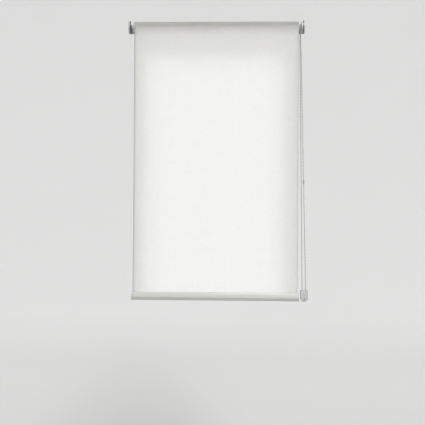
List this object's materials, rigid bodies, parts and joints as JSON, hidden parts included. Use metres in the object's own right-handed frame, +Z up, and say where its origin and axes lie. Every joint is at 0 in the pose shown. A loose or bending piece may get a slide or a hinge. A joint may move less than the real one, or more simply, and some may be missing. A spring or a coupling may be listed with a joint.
{
  "type": "roller blind",
  "caption": "Chain-driven roller blind: off-white fabric on a tube between two wall brackets, with a weighted bottom rail, bead chain and wall tensioner.",
  "frame": {"origin": "on the wall plane, midway across the fabric, level with the roller's axis", "axes": "+X along the roller towards the chain side, +Y into the wall, +Z up"},
  "size_m": [0.7533, 0.0696, 1.1701],
  "materials": {
    "bracket_left": "zinc-plated steel, satin",
    "bracket_right": "zinc-plated steel, satin",
    "cover_left": "white, satin",
    "cover_right": "white, satin",
    "bracket_screw_left_upper": "zinc plated",
    "bracket_screw_left_lower": "zinc plated",
    "bracket_screw_right_upper": "zinc plated",
    "bracket_screw_right_lower": "zinc plated",
    "idle_bush": "moulded, satin",
    "drive_housing": "white, satin",
    "drive_core": "moulded, satin",
    "drive_retainer": "spring steel",
    "fabric_drop": "plain weave, off-white, lets daylight through",
    "bead_chain": "white, moulded beads",
    "tensioner_back": "frosted grey, lets light through",
    "tensioner_front": "frosted grey, lets light through",
    "tensioner_screw": "zinc plated",
    "roller_tube": "mill finish",
    "fabric_roll": "plain weave, off-white",
    "idle_plug": "white, moulded",
    "idle_spring_seat": "pressed",
    "idle_spring": "spring wire",
    "drive_crown": "white, moulded",
    "idle_pin": "ground",
    "bottom_rail": "powder coated, light grey",
    "hem_spline": "extruded rod",
    "rail_weight": "rolled flat bar",
    "rail_cap_left": "light grey, satin",
    "rail_cap_right": "light grey, satin",
    "chain_wheel": "moulded, satin",
    "wrap_spring_1": "spring wire",
    "wrap_spring_2": "spring wire",
    "tensioner_pulley": "white, moulded",
    "chain_connector": "clear grey, moulded"
  },
  "bodies": {
    "root": {"bracket_left": "bracket_left", "bracket_right": "bracket_right", "cover_left": "cover_left", "cover_right": "cover_right", "bracket_screw_left_upper": "bracket_screw_left_upper", "bracket_screw_left_lower": "bracket_screw_left_lower", "bracket_screw_right_upper": "bracket_screw_right_upper", "bracket_screw_right_lower": "bracket_screw_right_lower", "idle_bush": "idle_bush", "drive_housing": "drive_housing", "drive_core": "drive_core", "drive_retainer": "drive_retainer", "fabric_drop": "fabric_drop", "bead_chain": "bead_chain", "tensioner_back": "tensioner_back", "tensioner_front": "tensioner_front", "tensioner_screw": "tensioner_screw"},
    "roller": {"roller_tube": "roller_tube", "fabric_roll": "fabric_roll", "idle_plug": "idle_plug", "idle_spring_seat": "idle_spring_seat", "idle_spring": "idle_spring", "drive_crown": "drive_crown"},
    "pin": {"idle_pin": "idle_pin"},
    "rail": {"bottom_rail": "bottom_rail", "hem_spline": "hem_spline", "rail_weight": "rail_weight", "rail_cap_left": "rail_cap_left", "rail_cap_right": "rail_cap_right"},
    "chain_drive": {"chain_wheel": "chain_wheel", "wrap_spring_1": "wrap_spring_1", "wrap_spring_2": "wrap_spring_2"},
    "pulley": {"tensioner_pulley": "tensioner_pulley"},
    "connector": {"chain_connector": "chain_connector"}
  },
  "joints": [
    {"name": "roller_turn", "type": "hinge", "parent": "root", "child": "roller", "pos_m": [0, -0.038, 0], "axis": [-1, 0, 0], "range_deg": [0, 2520]},
    {"name": "chain_wheel_turn", "type": "hinge", "parent": "root", "child": "chain_drive", "pos_m": [0.3475, -0.038, 0], "axis": [-1, 0, 0], "range_deg": [0, 2520.5]},
    {"name": "rail_lift", "type": "slide", "parent": "root", "child": "rail", "axis": [0, 0, 1], "range_m": [0, 1.0503], "deforming": ["fabric_drop"]},
    {"name": "connector_travel", "type": "slide", "parent": "root", "child": "connector", "axis": [-0.0289, -0.0362, 0.9989], "range_m": [0, 0.5043]},
    {"name": "pulley_turn", "type": "hinge", "parent": "root", "child": "pulley", "pos_m": [0.3725, -0.0086, -1.1273], "axis": [0, -1, 0], "range_deg": [0, 3781]},
    {"name": "idle_pin_press", "type": "slide", "parent": "roller", "child": "pin", "axis": [1, 0, 0], "range_m": [0, 0.0072], "stiffness_N_per_m": 300, "springref_m": -0.01, "deforming": ["idle_spring"]}
  ],
  "couplings": [
    {"joint": "chain_wheel_turn", "follows": "roller_turn", "ratio": 1},
    {"joint": "rail_lift", "follows": "roller_turn", "m_per_rad": 0.023873},
    {"joint": "connector_travel", "follows": "roller_turn", "m_per_rad": 0.011459},
    {"joint": "pulley_turn", "follows": "roller_turn", "ratio": 1.5}
  ]
}
